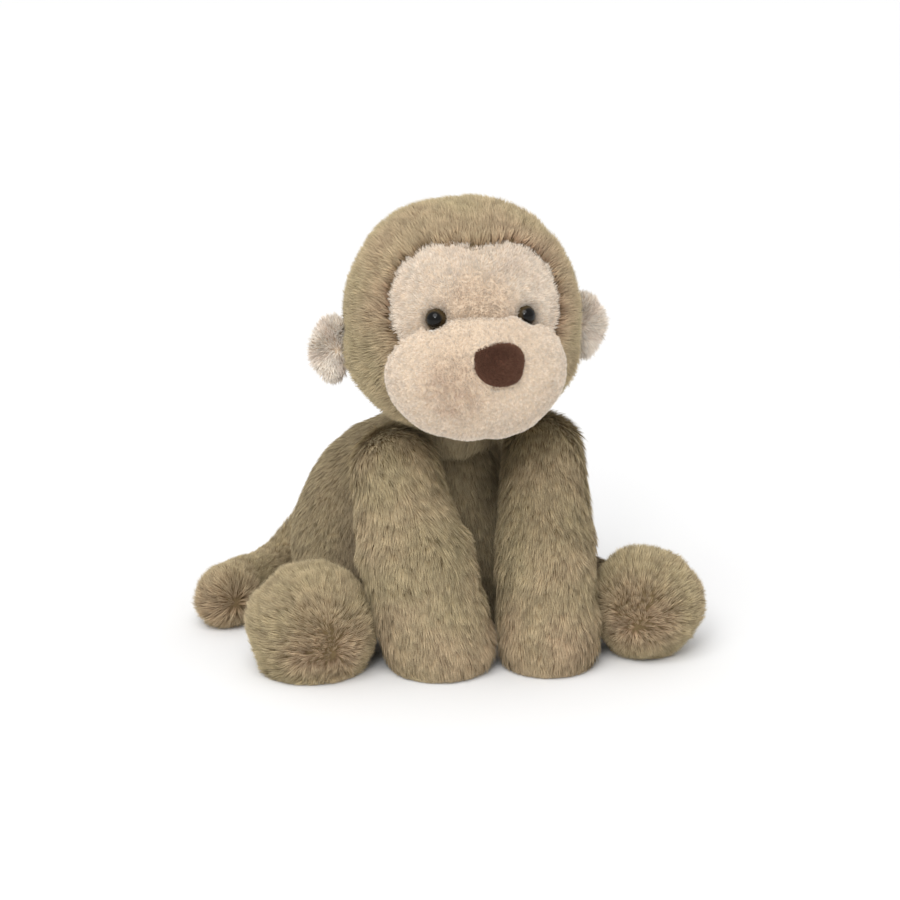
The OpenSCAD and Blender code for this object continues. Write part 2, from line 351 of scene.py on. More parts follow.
def skinAround(name, nodeNames, skin):
    # one closed surface around some solids, drawn in to leave room for the pile, except on the ground
    form = bmesh.new()
    for node in nodeNames:
        form.from_mesh(nodes[node].data)
    bmesh.ops.remove_doubles(form, verts=form.verts, dist=1e-6)
    mesh = bpy.data.meshes.new(name)
    form.to_mesh(mesh)
    form.free()
    piece = newObject(name, mesh)
    remesh = piece.modifiers.new("remesh", "REMESH")
    remesh.mode = "VOXEL"
    remesh.voxel_size = skin["voxel"]
    solid = evaluated(piece)
    piece.modifiers.clear()
    form = bmesh.new()
    form.from_mesh(solid)
    keepLargest(form)
    form.to_mesh(solid)
    form.free()
    piece.data = solid
    edges = edgesOf(solid)
    co = relaxed(coordsOf(solid), edges, skin["smooth"])
    setCoords(solid, co)
    normals = normalsOf(solid)
    offGround = smoothStep(*groundRoom["skin"], co[:, 2])
    drawn = co - normals * skin["inset"] * offGround[:, None]
    for size, height, seed in skin["bumps"]:
        drawn += normals * (waves(co, size, seed) * height * offGround)[:, None]
    drawn[:, 2] = np.maximum(drawn[:, 2], groundRoom["lowest"])
    setCoords(solid, drawn)
    solid.shade_smooth()
    return piece


def along(directions, normals):
    # directions laid down onto the surface
    return unit(directions - normals * np.sum(directions * normals, axis=1, keepdims=True))


# Strands

strandHabit = dict(shortest=0.72, longest=1.1, roll=0.6, thinnest=0.8, thickest=1.2, sunk=0.0003,
                   widestAt=0.45)


def makeLock(name, lock, seed):
    # flat strands, thin at both ends, that rise from about the origin along +Z and lie over towards +X
    rng = np.random.default_rng(seed)
    verts, faces, grown = [], [], []
    for _ in range(lock["strands"]):
        angle = rng.uniform(0, 2 * math.pi)
        reach = lock["spread"] * math.sqrt(rng.uniform())
        root = np.array([math.cos(angle) * reach, math.sin(angle) * reach, -strandHabit["sunk"]])
        length = lock["length"] * rng.uniform(strandHabit["shortest"], strandHabit["longest"])
        veer = rng.normal(0, lock["veer"])
        roll = rng.normal(0, strandHabit["roll"])
        half = lock["width"] / 2 * rng.uniform(strandHabit["thinnest"], strandHabit["thickest"])
        base = len(verts)
        for t, width in ((0.0, 0.0), (strandHabit["widestAt"], 1.0), (1.0, 0.0)):
            gather = 1 - (1 - lock["gather"]) * t
            over = 0.55 * t + 0.45 * t * t
            rise = 1.5 * t - 0.5 * t * t
            point = np.array([root[0] * gather + length * lock["over"] * over,
                              root[1] * gather + length * veer * t,
                              root[2] + length * lock["rise"] * rise])
            side = np.array([0, math.cos(roll), math.sin(roll)]) * half * width
            if width:
                verts += [point + side, point - side]
                grown += [t, t]
            else:
                verts.append(point)
                grown.append(t)
        faces += [(base, base + 2, base + 1), (base + 1, base + 2, base + 3)]
    mesh = bpy.data.meshes.new(name)
    mesh.from_pydata([tuple(v) for v in verts], [], faces)
    setAttribute(mesh, "along", np.array(grown))
    return bpy.data.objects.new(name, mesh)


def lockCollection(name, lock, variants=6, firstSeed=40):
    group = bpy.data.collections.new(name)
    for number in range(variants):
        group.objects.link(makeLock(f"{name} {number}", lock, firstSeed + number))
    return group


# density is a ceiling over the spacing; lie and stand are a lock's reach and height at no lift
pileHabit = dict(density=3e6, jitter=0.22, lie=1.45, stand=0.35)


def buildPileTree():
    # scatters locks over the zone of a skin, lays each along "comb", and makes them one plain mesh
    tree = bpy.data.node_groups.new("grow pile", "GeometryNodeTree")
    sockets = (("Geometry", "NodeSocketGeometry"), ("Locks", "NodeSocketCollection"),
               ("Material", "NodeSocketMaterial"), ("Spacing", "NodeSocketFloat"),
               ("Uneven", "NodeSocketFloat"), ("Swirl", "NodeSocketFloat"),
               ("Swirl Size", "NodeSocketFloat"), ("Seed", "NodeSocketInt"))
    for name, kind in sockets:
        tree.interface.new_socket(name, in_out="INPUT", socket_type=kind)
    tree.interface.new_socket("Geometry", in_out="OUTPUT", socket_type="NodeSocketGeometry")
    add, link = tree.nodes.new, tree.links.new
    given, result = add("NodeGroupInput"), add("NodeGroupOutput")

    def named(kind, name):
        node = add("GeometryNodeInputNamedAttribute")
        node.data_type = kind
        node.inputs["Name"].default_value = name
        return node.outputs["Attribute"]

    def vectorMath(operation, first, second=None, scale=None):
        node = add("ShaderNodeVectorMath")
        node.operation = operation
        link(first, node.inputs[0])
        if second is not None:
            link(second, node.inputs[1])
        if scale is not None:
            link(scale, node.inputs["Scale"])
        return node.outputs[0]

    def randomValue(kind, inputs):
        node = add("FunctionNodeRandomValue")
        node.data_type = kind
        for socket, value in inputs.items():
            node.inputs[socket].default_value = value
        return node

    scatter = add("GeometryNodeDistributePointsOnFaces")
    scatter.distribute_method = "POISSON"
    link(given.outputs["Geometry"], scatter.inputs["Mesh"])
    link(given.outputs["Spacing"], scatter.inputs["Distance Min"])
    scatter.inputs["Density Max"].default_value = pileHabit["density"]
    link(named("FLOAT", "zone"), scatter.inputs["Density Factor"])
    link(given.outputs["Seed"], scatter.inputs["Seed"])

    swirl = add("ShaderNodeTexNoise")
    swirl.inputs["Detail"].default_value = 2.0
    link(add("GeometryNodeInputPosition").outputs[0], swirl.inputs["Vector"])
    link(maths(tree, "DIVIDE", 1.0, given.outputs["Swirl Size"]), swirl.inputs["Scale"])
    centred = add("ShaderNodeVectorMath")
    centred.operation = "SUBTRACT"
    link(swirl.outputs["Color"], centred.inputs[0])
    centred.inputs[1].default_value = (0.5, 0.5, 0.5)
    turned = vectorMath("SCALE", centred.outputs[0], scale=given.outputs["Swirl"])
    strength = pileHabit["jitter"]
    jitter = randomValue("FLOAT_VECTOR", {"Min": (-strength,) * 3, "Max": (strength,) * 3})
    lay = vectorMath("ADD", vectorMath("ADD", named("FLOAT_VECTOR", "comb"), turned), jitter.outputs["Value"])
    turn = add("FunctionNodeAxesToRotation")
    turn.primary_axis = "Z"
    turn.secondary_axis = "X"
    link(scatter.outputs["Normal"], turn.inputs["Primary Axis"])
    link(lay, turn.inputs["Secondary Axis"])

    uneven = randomValue("FLOAT", {})
    link(maths(tree, "SUBTRACT", 1.0, given.outputs["Uneven"]), uneven.inputs[2])
    link(maths(tree, "ADD", 1.0, given.outputs["Uneven"]), uneven.inputs[3])
    length = maths(tree, "MULTIPLY", uneven.outputs[1], named("FLOAT", "pile"))
    lift = named("FLOAT", "lift")
    scale = add("ShaderNodeCombineXYZ")
    link(maths(tree, "MULTIPLY", length, maths(tree, "SUBTRACT", pileHabit["lie"], lift)), scale.inputs[0])
    link(length, scale.inputs[1])
    link(maths(tree, "MULTIPLY", length, maths(tree, "ADD", lift, pileHabit["stand"])), scale.inputs[2])

    info = add("GeometryNodeCollectionInfo")
    info.inputs["Separate Children"].default_value = True
    info.inputs["Reset Children"].default_value = True
    link(given.outputs["Locks"], info.inputs["Collection"])
    pick = randomValue("INT", {4: 0, 5: 99})
    place = add("GeometryNodeInstanceOnPoints")
    place.inputs["Pick Instance"].default_value = True
    link(scatter.outputs["Points"], place.inputs["Points"])
    link(info.outputs["Instances"], place.inputs["Instance"])
    link(pick.outputs[2], place.inputs["Instance Index"])
    link(turn.outputs["Rotation"], place.inputs["Rotation"])
    link(scale.outputs[0], place.inputs["Scale"])

    shade = add("GeometryNodeStoreNamedAttribute")
    shade.data_type = "FLOAT"
    shade.domain = "INSTANCE"
    shade.inputs["Name"].default_value = "shade"
    shadeValue = randomValue("FLOAT", {"Seed": 5})
    link(place.outputs["Instances"], shade.inputs["Geometry"])
    link(shadeValue.outputs[1], shade.inputs["Value"])
    realize = add("GeometryNodeRealizeInstances")
    link(shade.outputs["Geometry"], realize.inputs["Geometry"])

    # strands that would reach under the ground lie along it instead
    where = add("GeometryNodeInputPosition")
    parts = add("ShaderNodeSeparateXYZ")
    link(where.outputs[0], parts.inputs[0])
    raised = add("ShaderNodeCombineXYZ")
    link(parts.outputs[0], raised.inputs[0])
    link(parts.outputs[1], raised.inputs[1])
    link(maths(tree, "MAXIMUM", parts.outputs[2], groundRoom["lowestStrand"]), raised.inputs[2])
    ground = add("GeometryNodeSetPosition")
    link(realize.outputs["Geometry"], ground.inputs["Geometry"])
    link(raised.outputs[0], ground.inputs["Position"])
    paint = add("GeometryNodeSetMaterial")
    link(ground.outputs["Geometry"], paint.inputs["Geometry"])
    link(given.outputs["Material"], paint.inputs["Material"])
    link(paint.outputs["Geometry"], result.inputs[0])
    return tree


pileTree = buildPileTree()
keptOnStrands = ("along", "shade", "smudge", "warm", "position", "material_index")


def growPile(name, skin, pile, seed):
    # real strands over one zone of a skin, as a plain mesh of their own
    piece = newObject(name, skin.data)
    modifier = piece.modifiers.new("pile", "NODES")
    modifier.node_group = pileTree
    values = {"Locks": pile["locks"], "Material": pile["material"], "Spacing": pile["spacing"],
              "Uneven": pile["uneven"], "Swirl": pile["swirl"], "Swirl Size": pile["swirlSize"], "Seed": seed}
    for item in pileTree.interface.items_tree:
        if item.in_out == "INPUT" and item.name in values:
            modifier[item.identifier] = values[item.name]
    strands = evaluated(piece)
    piece.modifiers.clear()
    for attribute in list(strands.attributes):
        needed = attribute.is_required or attribute.name.startswith(".") or attribute.name in keptOnStrands
        if not needed:
            strands.attributes.remove(attribute)
    piece.data = strands
    print(f"  {name}: {len(strands.polygons)} faces")
    return piece


longLocks = lockCollection("long locks", dict(
    strands=13, length=0.0082, spread=0.0014, width=0.00031, gather=0.55, veer=0.16, over=0.85, rise=0.62))
shortLocks = lockCollection("short locks", dict(
    strands=9, length=0.0030, spread=0.0010, width=0.00026, gather=1.0, veer=0.25, over=0.6, rise=0.75))
napLocks = lockCollection("nap locks", dict(
    strands=9, length=0.0012, spread=0.0005, width=0.00018, gather=1.0, veer=0.3, over=0.5, rise=0.8))

brownFur = dict(
    locks=longLocks, material=brownPile, spacing=0.00130, uneven=0.22, swirl=1.5, swirlSize=0.016)
creamFur = dict(
    locks=shortLocks, material=creamPile, spacing=0.00082, uneven=0.25, swirl=1.8, swirlSize=0.012)
earFur = dict(creamFur, material=litEarPile)
noseNap = dict(
    locks=napLocks, material=noseSuede, spacing=0.00042, uneven=0.3, swirl=2.0, swirlSize=0.006)


def dress(skin, body, replaced, material):
    # a stuffed cover takes the place of its CAD nodes
    skin.data.materials.clear()
    skin.data.materials.append(material)
    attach(skin, body)
    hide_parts(*replaced)


def furOver(skin, body, pile, comb, zones, seed, length, lift, warm=0.0, smudge=0.0):
    # length and lift shape the strands; the warm tint (painted shade in the ear folds) and the darker colour
    # (painted shade, and the airbrushed tint round the eyes) colour them; each is one value or one for every
    # point
    mesh = skin.data
    co, normals = coordsOf(mesh), normalsOf(mesh)
    setAttribute(mesh, "comb", along(comb, normals))
    for name, values in (("pile", length), ("lift", lift), ("warm", warm), ("smudge", smudge)):
        setAttribute(mesh, name, np.broadcast_to(values, len(co)).astype(float))
    overhang = np.maximum(normals[:, 2] + 0.8, 0) * 0.01
    offGround = smoothStep(*groundRoom["strands"], co[:, 2] + overhang)
    for number, (name, zone) in enumerate(zones.items()):
        setAttribute(mesh, "zone", np.clip(zone, 0, 1) * offGround)
        fur = growPile(name, skin, pile, seed + number)
        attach(fur, body)


def halves(co, axis, at, width=0.004):
    # two zones that share their border evenly
    upper = smoothStep(at - width, at + width, co[:, axis])
    return upper, 1 - upper


# Torso

torsoSkin = dict(voxel=0.0024, smooth=5, inset=0.0013, bumps=[(0.035, 0.0011, 1), (0.014, 0.0005, 2)])
torso = skinAround(
    "torsoSkin", ["body_front_panel", "body_back_panel", "seat_panel", "body_stuffing", "seat_pellet_bag"],
    torsoSkin)
co, normals = coordsOf(torso.data), normalsOf(torso.data)
seatCentre = centreOf("seat_panel")

# a fold up each side of the body, with a swelling beside it; turns are degrees from the side to the front
sideFold = dict(turn=46.0, width=13.0, depth=0.0008, swelling=0.0024, swellingTurn=14.0, wander=5.0,
                wanderSize=0.03, foot=(0.012, 0.03), top=(0.095, 0.075))
turnRound = np.degrees(np.arctan2(-(co[:, 1] - seatCentre[1]), np.abs(co[:, 0])))
turnRound += waves(co, sideFold["wanderSize"], 21) * sideFold["wander"]
foldSpan = smoothStep(*sideFold["foot"], co[:, 2]) * smoothStep(*sideFold["top"], co[:, 2])
valley = np.exp(-((turnRound - sideFold["turn"]) / sideFold["width"]) ** 2)
swelling = np.exp(-((turnRound - sideFold["swellingTurn"]) / sideFold["width"]) ** 2)
pushed = (sideFold["swelling"] * swelling - sideFold["depth"] * valley) * foldSpan
setCoords(torso.data, co + normals * pushed[:, None])
torso.data.shade_smooth()

torsoPile = dict(length=0.62, lift=0.25, chestLength=0.35, chestLift=0.2, chestDepth=(-0.045, -0.062),
                 chestWidth=(0.04, 0.025), byLabel=0.35, labelClear=(0.011, 0.016), labelSquash=0.75,
                 shade=0.22, foldShade=0.42, darkest=0.65, outward=2.0, sideSeam=-0.005)
comb = (co - seatCentre) * (torsoPile["outward"], torsoPile["outward"], 0) - (0, 0, 1)
comb[:, 0] = co[:, 0] * torsoPile["outward"]
chest = smoothStep(*torsoPile["chestDepth"], co[:, 1])
chest *= smoothStep(*torsoPile["chestWidth"], np.abs(co[:, 0]))
labelCentre = centreOf("care_label")
fromLabel = np.linalg.norm((co - labelCentre) * (1, 1, torsoPile["labelSquash"]), axis=1)
byLabel = torsoPile["byLabel"] + (1 - torsoPile["byLabel"]) * smoothStep(*torsoPile["labelClear"], fromLabel)
back, front = halves(co, 1, torsoPile["sideSeam"])
leftSide, rightSide = halves(co, 0, 0.0)
# the torso's strands and backing are darkened with painted shade, lightly all over and most in the side folds
furOver(torso, "torso", brownFur, comb,
        {"torsoFurFrontLeft": front * leftSide, "torsoFurFrontRight": front * rightSide,
         "torsoFurBackLeft": back * leftSide, "torsoFurBackRight": back * rightSide}, 10,
        length=(torsoPile["length"] + torsoPile["chestLength"] * chest) * byLabel,
        lift=torsoPile["lift"] + torsoPile["chestLift"] * chest,
        smudge=np.clip(torsoPile["shade"] + torsoPile["foldShade"] * valley * foldSpan,
                       0, torsoPile["darkest"]))
dress(torso, "torso", ["body_front_panel", "body_back_panel", "seat_panel"], brownBacking)
print("torso done")


# Neck, with a collar that spreads over the rim of the body

neckSkin = dict(voxel=0.0024, smooth=3, inset=0.0, bumps=[(0.02, 0.0006, 3)])
neck = skinAround("neckSkin", ["neck_shell", "neck_stuffing"], neckSkin)
neckPile = dict(collar=0.0042, collarSpan=(0.016, 0.002), bared=(0.150, 0.135), outward=0.25)
co = coordsOf(neck.data)
fromAxis = unit((co - pivotOf("neck_turn")) * (1, 1, 0))
collar = neckPile["collar"] * smoothStep(*neckPile["collarSpan"], co[:, 2] - co[:, 2].min())
setCoords(neck.data, co + fromAxis * collar[:, None])
co = coordsOf(neck.data)
# the neck's strands and backing are darkened with painted shade under the head
furOver(neck, "neck", brownFur, fromAxis * neckPile["outward"] - (0, 0, 1),
        {"neckFur": smoothStep(*neckPile["bared"], co[:, 2])}, 20, length=1.15, lift=0.45, smudge=0.3)
dress(neck, "neck", ["neck_shell"], brownBacking)
print("neck done")


# Head, with the cream face sewn in

# shares of half the face panel's width, and how far the lobes rise past the panel
faceShape = dict(radius=0.88, lobeRadius=0.75, lobeAside=0.29, lobeRise=0.0018, seam=(-0.0004, 0.0010))


def faceInside(co):
    # how far a point of the head lies inside the outline of the face, as seen from its front
    low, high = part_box("face_panel")
    half = (high.x - low.x) / 2
    radius, lobeRadius, lobeAside = (half * faceShape[part] for part in ("radius", "lobeRadius", "lobeAside"))
    across = (co - faceCentre) @ faceAcross
    up = co[:, 2] - (low.z + radius)
    lobeUp = high.z + faceShape["lobeRise"] - low.z - radius - lobeRadius
    reach = radius - np.hypot(across, up)
    for side in (-1, 1):
        reach = np.maximum(reach, lobeRadius - np.hypot(across - side * lobeAside, up - lobeUp))
    return np.where((co - headCentre) @ faceAhead > 0, reach, -1.0)


def tipOf(eye):
    points = coordsOf(nodes[eye].data)
    return points[np.argmax(np.linalg.norm(points - headCentre, axis=1))]


def thickened(piece, thick, offset):
    wall = piece.modifiers.new("wall", "SOLIDIFY")
    wall.thickness = thick
    wall.offset = offset
    solid = evaluated(piece)
    piece.modifiers.clear()
    piece.data = solid
    solid.shade_smooth()
    return piece


def patchOf(name, skin, inside, lift, thick, material):
    # the faces of a skin inside an outline, as a thin sewn-in panel
    form = bmesh.new()
    form.from_mesh(skin.data)
    form.verts.ensure_lookup_table()
    doomed = [f for f in form.faces if min(inside[v.index] for v in f.verts) < 0]
    bmesh.ops.delete(form, geom=doomed, context="FACES")
    mesh = bpy.data.meshes.new(name)
    form.to_mesh(mesh)
    form.free()
    setCoords(mesh, coordsOf(mesh) + normalsOf(mesh) * lift)
    return thickened(newObject(name, mesh, material), thick, -1)


headSkin = dict(voxel=0.0022, smooth=4, inset=0.0015, bumps=[(0.04, 0.0010, 4), (0.015, 0.0005, 5)])
head = skinAround("headSkin", ["head_shell", "face_panel", "head_stuffing"], headSkin)
co = coordsOf(head.data)
inside = faceInside(co)
creamZone = smoothStep(*faceShape["seam"], inside)

headPile = dict(length=0.98, lift=0.34, faceReach=0.016, faceLength=0.05, faceLift=0.26, faceWarmth=0.65,
                furStart=0.01, sideSeam=0.004)
comb = co - faceCentre - faceAhead * headPile["furStart"]
back, front = halves(co, 1, headCentre[1] + headPile["sideSeam"])
nearFace = 1 - smoothStep(0.0, headPile["faceReach"], -inside)
furOver(head, "head", brownFur, comb,
        {"headFurFront": (1 - creamZone) * front, "headFurBack": (1 - creamZone) * back}, 30,
        length=headPile["length"] + headPile["faceLength"] * nearFace,
        lift=headPile["lift"] + headPile["faceLift"] * nearFace,
        warm=np.clip(headPile["faceWarmth"] * nearFace + 0.25 * waves(co, 0.018, 31), 0, 0.8))

facePile = dict(length=1.0, lift=0.5, browRise=0.008, browReach=(0.006, 0.020), browShorter=0.15,
                browLift=0.3, browWarmth=0.22, eyeBare=(0.0035, 0.0055), eyeShadow=(0.0045, 0.0105),
                eyeShade=0.7)
eyeTips = [tipOf("eye_" + side) for side in sides]
eyeDistance = np.min([np.linalg.norm(co - tip, axis=1) for tip in eyeTips], axis=0)
browCentre = np.mean(eyeTips, axis=0) + (0, 0, facePile["browRise"])
brow = 1 - smoothStep(*facePile["browReach"], np.linalg.norm(co - browCentre, axis=1))
furOver(head, "head", creamFur, comb,
        {"faceFur": creamZone * smoothStep(*facePile["eyeBare"], eyeDistance)}, 40,
        length=facePile["length"] - facePile["browShorter"] * brow,
        lift=facePile["lift"] + facePile["browLift"] * brow,
        warm=np.clip(0.08 + 0.12 * waves(co, 0.012, 32) + facePile["browWarmth"] * brow, 0, 0.4),
        smudge=facePile["eyeShade"] * (1 - smoothStep(*facePile["eyeShadow"], eyeDistance)))

face = patchOf("facePanel", head, inside, lift=0.0004, thick=0.0012, material=creamBacking)
dress(face, "head", ["face_panel"], creamBacking)
setAttribute(head.data, "smudge", np.zeros(len(co)))
dress(head, "head", ["head_shell"], brownBacking)
print("head done")


# Muzzle

muzzleSkin = dict(voxel=0.0020, smooth=4, inset=0.0010, bumps=[(0.03, 0.0008, 6), (0.012, 0.0004, 7)])
muzzle = skinAround("muzzleSkin", ["muzzle_shell", "muzzle_stuffing", "nose"], muzzleSkin)
co, normals = coordsOf(muzzle.data), normalsOf(muzzle.data)

# raised at the bridge, lower at its two upper corners, with a dent under the middle
muzzleShape = dict(bridge=0.0022, bridgeWidth=0.015, corner=0.0012, cornerSpan=(0.020, 0.034),
                   upper=(0.2, 0.9), dent=0.0014, dentAside=0.004, dentWidth=0.005, under=(-0.3, -0.9))
across = (co - headCentre) @ faceAcross
bridge = muzzleShape["bridge"] * np.exp(-(across / muzzleShape["bridgeWidth"]) ** 2)
corners = muzzleShape["corner"] * smoothStep(*muzzleShape["cornerSpan"], np.abs(across))
dent = muzzleShape["dent"] * np.exp(-((across - muzzleShape["dentAside"]) / muzzleShape["dentWidth"]) ** 2)
pushed = (bridge - corners) * smoothStep(*muzzleShape["upper"], normals[:, 2])
pushed -= dent * smoothStep(*muzzleShape["under"], normals[:, 2])
setCoords(muzzle.data, co + normals * pushed[:, None])
muzzle.data.shade_smooth()
co = coordsOf(muzzle.data)

# the pile parts over one cheek, and keeps clear of the nose, whose outline is a rounded, tapered box
muzzlePile = dict(length=0.62, lift=0.48, cheekAside=0.021, cheekDrop=0.012, speckleReach=(0.008, 0.022),
                  speckleSize=0.0028, speckleLength=0.2, speckleLift=0.3, buriedWithin=0.0572)
noseEdge = dict(broader=1.08, taper=0.16, roundness=2.7, edge=(0.90, 1.02), behind=-0.006)
cheek = noseCentre - faceAcross * muzzlePile["cheekAside"] - (0, 0, muzzlePile["cheekDrop"])
speckle = 1 - smoothStep(*muzzlePile["speckleReach"], np.linalg.norm(co - cheek, axis=1))
speckleWarmth = 0.38 + 0.4 * waves(co, muzzlePile["speckleSize"], 33)
fromNose = co - noseCentre
noseLow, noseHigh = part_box("nose")
noseUp = fromNose[:, 2] / ((noseHigh.z - noseLow.z) / 2)
noseAside = np.abs(fromNose @ faceAcross) / ((noseHigh.x - noseLow.x) / 2)
noseAside *= noseEdge["broader"] / (1 + noseEdge["taper"] * np.clip(noseUp, -1, 1))
noseReach = (noseAside ** noseEdge["roundness"] + np.abs(noseUp) ** noseEdge["roundness"]) ** (
    1 / noseEdge["roundness"])
clearOfNose = np.where(
    fromNose @ faceAhead > noseEdge["behind"], smoothStep(*noseEdge["edge"], noseReach), 1.0)
outsideHead = np.linalg.norm(co - headCentre, axis=1) >= muzzlePile["buriedWithin"]
above, below = halves(co, 2, muzzleCentre[2])
bared = outsideHead * clearOfNose
furOver(muzzle, "head", creamFur, fromNose,
        {"muzzleFurLow": bared * below, "muzzleFurHigh": bared * above}, 50,
        length=muzzlePile["length"] + muzzlePile["speckleLength"] * speckle,
        lift=muzzlePile["lift"] + muzzlePile["speckleLift"] * speckle,
        warm=np.clip(0.08 + speckle * speckleWarmth, 0, 0.8))
dress(muzzle, "head", ["muzzle_shell"], creamBacking)
print("muzzle done")


# Nose, a padded suede pad with a short nap

noseSkin = dict(voxel=0.0009, smooth=30, inset=-0.0004, bumps=[(0.006, 0.0003, 12)])
nosePad = skinAround("nosePad", ["nose"], noseSkin)
fromNose = coordsOf(nosePad.data) - noseCentre
outwards = unit(noseCentre - muzzleCentre)
furOver(nosePad, "head", noseNap, fromNose - outwards * 0.004,
        {"noseNap": smoothStep(-0.002, 0.0, fromNose @ outwards)}, 55, length=1.35, lift=0.7)
dress(nosePad, "head", ["nose"], noseBacking)
print("nose done")


# Eyes, turned domes with a shank

# the collar, the shank and its chamfered end, as shares of the eye's radius: (radius, distance from the tip)
eyeShape = dict(domeSteps=14, collar=[(1.04, 1.05), (1.02, 1.22), (0.9, 1.3)], shank=(0.33, 1.32), end=0.25,
                chamfer=0.0004)
eyeLook = dict(pupil=(0.002, 0.0015, 0.001, 1), rim=(0.05, 0.032, 0.012, 1), rimFrom=0.62, rimTo=0.8)
eyeMaterial, eyeTree, eyeShader = newMaterial("eye plastic", roughness=0.04)
rimAmount = mapRange(eyeTree, attributeValue(eyeTree, "rim"), low=eyeLook["rimFrom"], high=eyeLook["rimTo"])
eyeColour = mixColour(eyeTree, rimAmount, eyeLook["pupil"], eyeLook["rim"])
eyeTree.links.new(eyeColour, eyeShader.inputs["Base Color"])


def turned(name, profile, at, direction, segments=40):
    # a closed solid turned about a direction; the profile is (radius, height) from its tip to its tail
    sideways = unit(np.cross(direction, (0, 0, 1.0)))
    upwards = np.cross(sideways, direction)
    verts, faces, rim = [], [], []
    for radius, height in profile[1:-1]:
        for step in range(segments):
            angle = 2 * math.pi * step / segments
            spoke = sideways * math.cos(angle) + upwards * math.sin(angle)
            verts.append(at + direction * height + spoke * radius)
            rim.append(radius)
    rings = len(profile) - 2
    tip, tail = len(verts), len(verts) + 1
    verts += [at + direction * profile[0][1], at + direction * profile[-1][1]]
    rim += [0, 0]
    for step in range(segments):
        after = (step + 1) % segments
        faces.append((tip, after, step))
        faces.append((tail, (rings - 1) * segments + step, (rings - 1) * segments + after))
        for ring in range(rings - 1):
            a, b = ring * segments, (ring + 1) * segments
            faces.append((a + step, a + after, b + after, b + step))
    mesh = bpy.data.meshes.new(name)
    mesh.from_pydata([tuple(v) for v in verts], [], faces)
    setAttribute(mesh, "rim", np.array(rim) / max(rim))
    form = bmesh.new()
    form.from_mesh(mesh)
    bmesh.ops.recalc_face_normals(form, faces=form.faces)
    form.to_mesh(mesh)
    form.free()
    mesh.shade_smooth()
    return newObject(name, mesh)


for side, tip in zip(sides, eyeTips):
    fromTip = coordsOf(nodes["eye_" + side].data) - tip
    direction = unit(tip - headCentre)
    heights = fromTip @ direction
    radius = np.linalg.norm(fromTip - np.outer(heights, direction), axis=1).max()
    depth = -heights.min()
    dome = [(radius * math.sin(angle), -radius * (1 - math.cos(angle)))
            for angle in np.linspace(0, math.pi / 2, eyeShape["domeSteps"])]
    collar = [(radius * wide, -radius * far) for wide, far in eyeShape["collar"] + [eyeShape["shank"]]]
    shank = [(radius * eyeShape["shank"][0], -depth + eyeShape["chamfer"]),
             (radius * eyeShape["end"], -depth), (0, -depth)]
    eye = turned("eyeDome_" + side, dome + collar + shank, tip, direction)
    eye.data.materials.append(eyeMaterial)
    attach(eye, "head")
    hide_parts("eye_" + side)
print("eyes done")


# Care label, a folded blank satin ribbon sewn into the side seam

labelLook = dict(width=0.022, length=0.056, thick=0.0003, halfGap=0.0006, curl=0.0026, ripple=0.0005,
                 rippleAcross=5.0, rippleDown=2.2, steps=28, columns=8,
                 base=(0.8, 0.8, 0.78, 1), thread=(0.92, 0.92, 0.91, 1), threadScale=520.0,
                 threadWander=0.6)
satin, satinTree, satinShader = newMaterial("label satin", roughness=0.32, sheen=0.2)
coords = satinTree.nodes.new("ShaderNodeTexCoord")
threads = satinTree.nodes.new("ShaderNodeTexWave")
threads.bands_direction = "Z"
threads.inputs["Scale"].default_value = labelLook["threadScale"]
threads.inputs["Distortion"].default_value = labelLook["threadWander"]
satinTree.links.new(coords.outputs["Object"], threads.inputs["Vector"])
satinColour = mixColour(satinTree, threads.outputs["Fac"], labelLook["base"], labelLook["thread"])
satinTree.links.new(satinColour, satinShader.inputs["Base Color"])


def foldedRibbon(at, outwards):
    # hangs double from its sewn end: down one layer, round the fold and up the other
    sideways = np.array([-outwards[1], outwards[0], 0])
    steps, columns = labelLook["steps"], labelLook["columns"]
    drop = labelLook["length"] / 2
    verts, faces = [], []
    for step in range(steps + 1):
        share = 2 * step / steps
        fallen = share if share < 1 else 2 - share
        gap = labelLook["halfGap"]
        layer = gap * math.cos(math.pi * share / 2) if 0 < share < 2 else math.copysign(gap, 1 - share)
        height = np.array((0, 0, drop / 2 - drop * fallen))
        for column in range(columns + 1):
            share = column / columns
            ripple = math.sin(share * labelLook["rippleAcross"] + fallen * labelLook["rippleDown"]) * fallen
            away = layer + labelLook["curl"] * fallen ** 2 + labelLook["ripple"] * ripple
            verts.append(at + outwards * away + sideways * (share - 0.5) * labelLook["width"] + height)
    for step in range(steps):
        for column in range(columns):
            a = step * (columns + 1) + column
            faces.append((a, a + 1, a + columns + 2, a + columns + 1))
    mesh = bpy.data.meshes.new("careLabel")
    mesh.from_pydata([tuple(v) for v in verts], [], faces)
    return newObject("careLabel", mesh, satin)


label = foldedRibbon(labelCentre, unit((labelCentre - seatCentre) * (1, 1, 0)))
thickened(label, labelLook["thick"], 0)
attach(label, "torso")
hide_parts("care_label")
print("label done")


# Arms, legs, feet and tail

limbSkin = dict(voxel=0.0024, smooth=4, inset=0.0014, bumps=[(0.03, 0.0011, 8), (0.012, 0.0006, 9)])
armPile = dict(length=0.9, lift=0.36, outward=6.0, shoulderSpan=(0.02, -0.01), shoulderBack=(0, -0.9, 0),
               warmthAndShade=0.1, pawWarmth=0.35, pawSpan=(0.045, 0.085))
legPile = dict(length=0.7, lift=0.35, shade=0.5)
footPile = dict(length=0.86, lift=0.34, soleReach=(0.006, 0.026), soleShorter=0.2, soleLift=0.3,
                soleWarmth=0.75, swirl=0.010, swirlSize=0.011)
tailPile = dict(length=0.6, lift=0.3, tipRadius=0.0155, tipAside=0.004, tipReach=(0.008, 0.030),
                tipLength=0.3, tipLift=0.08, tipWarmth=0.5)


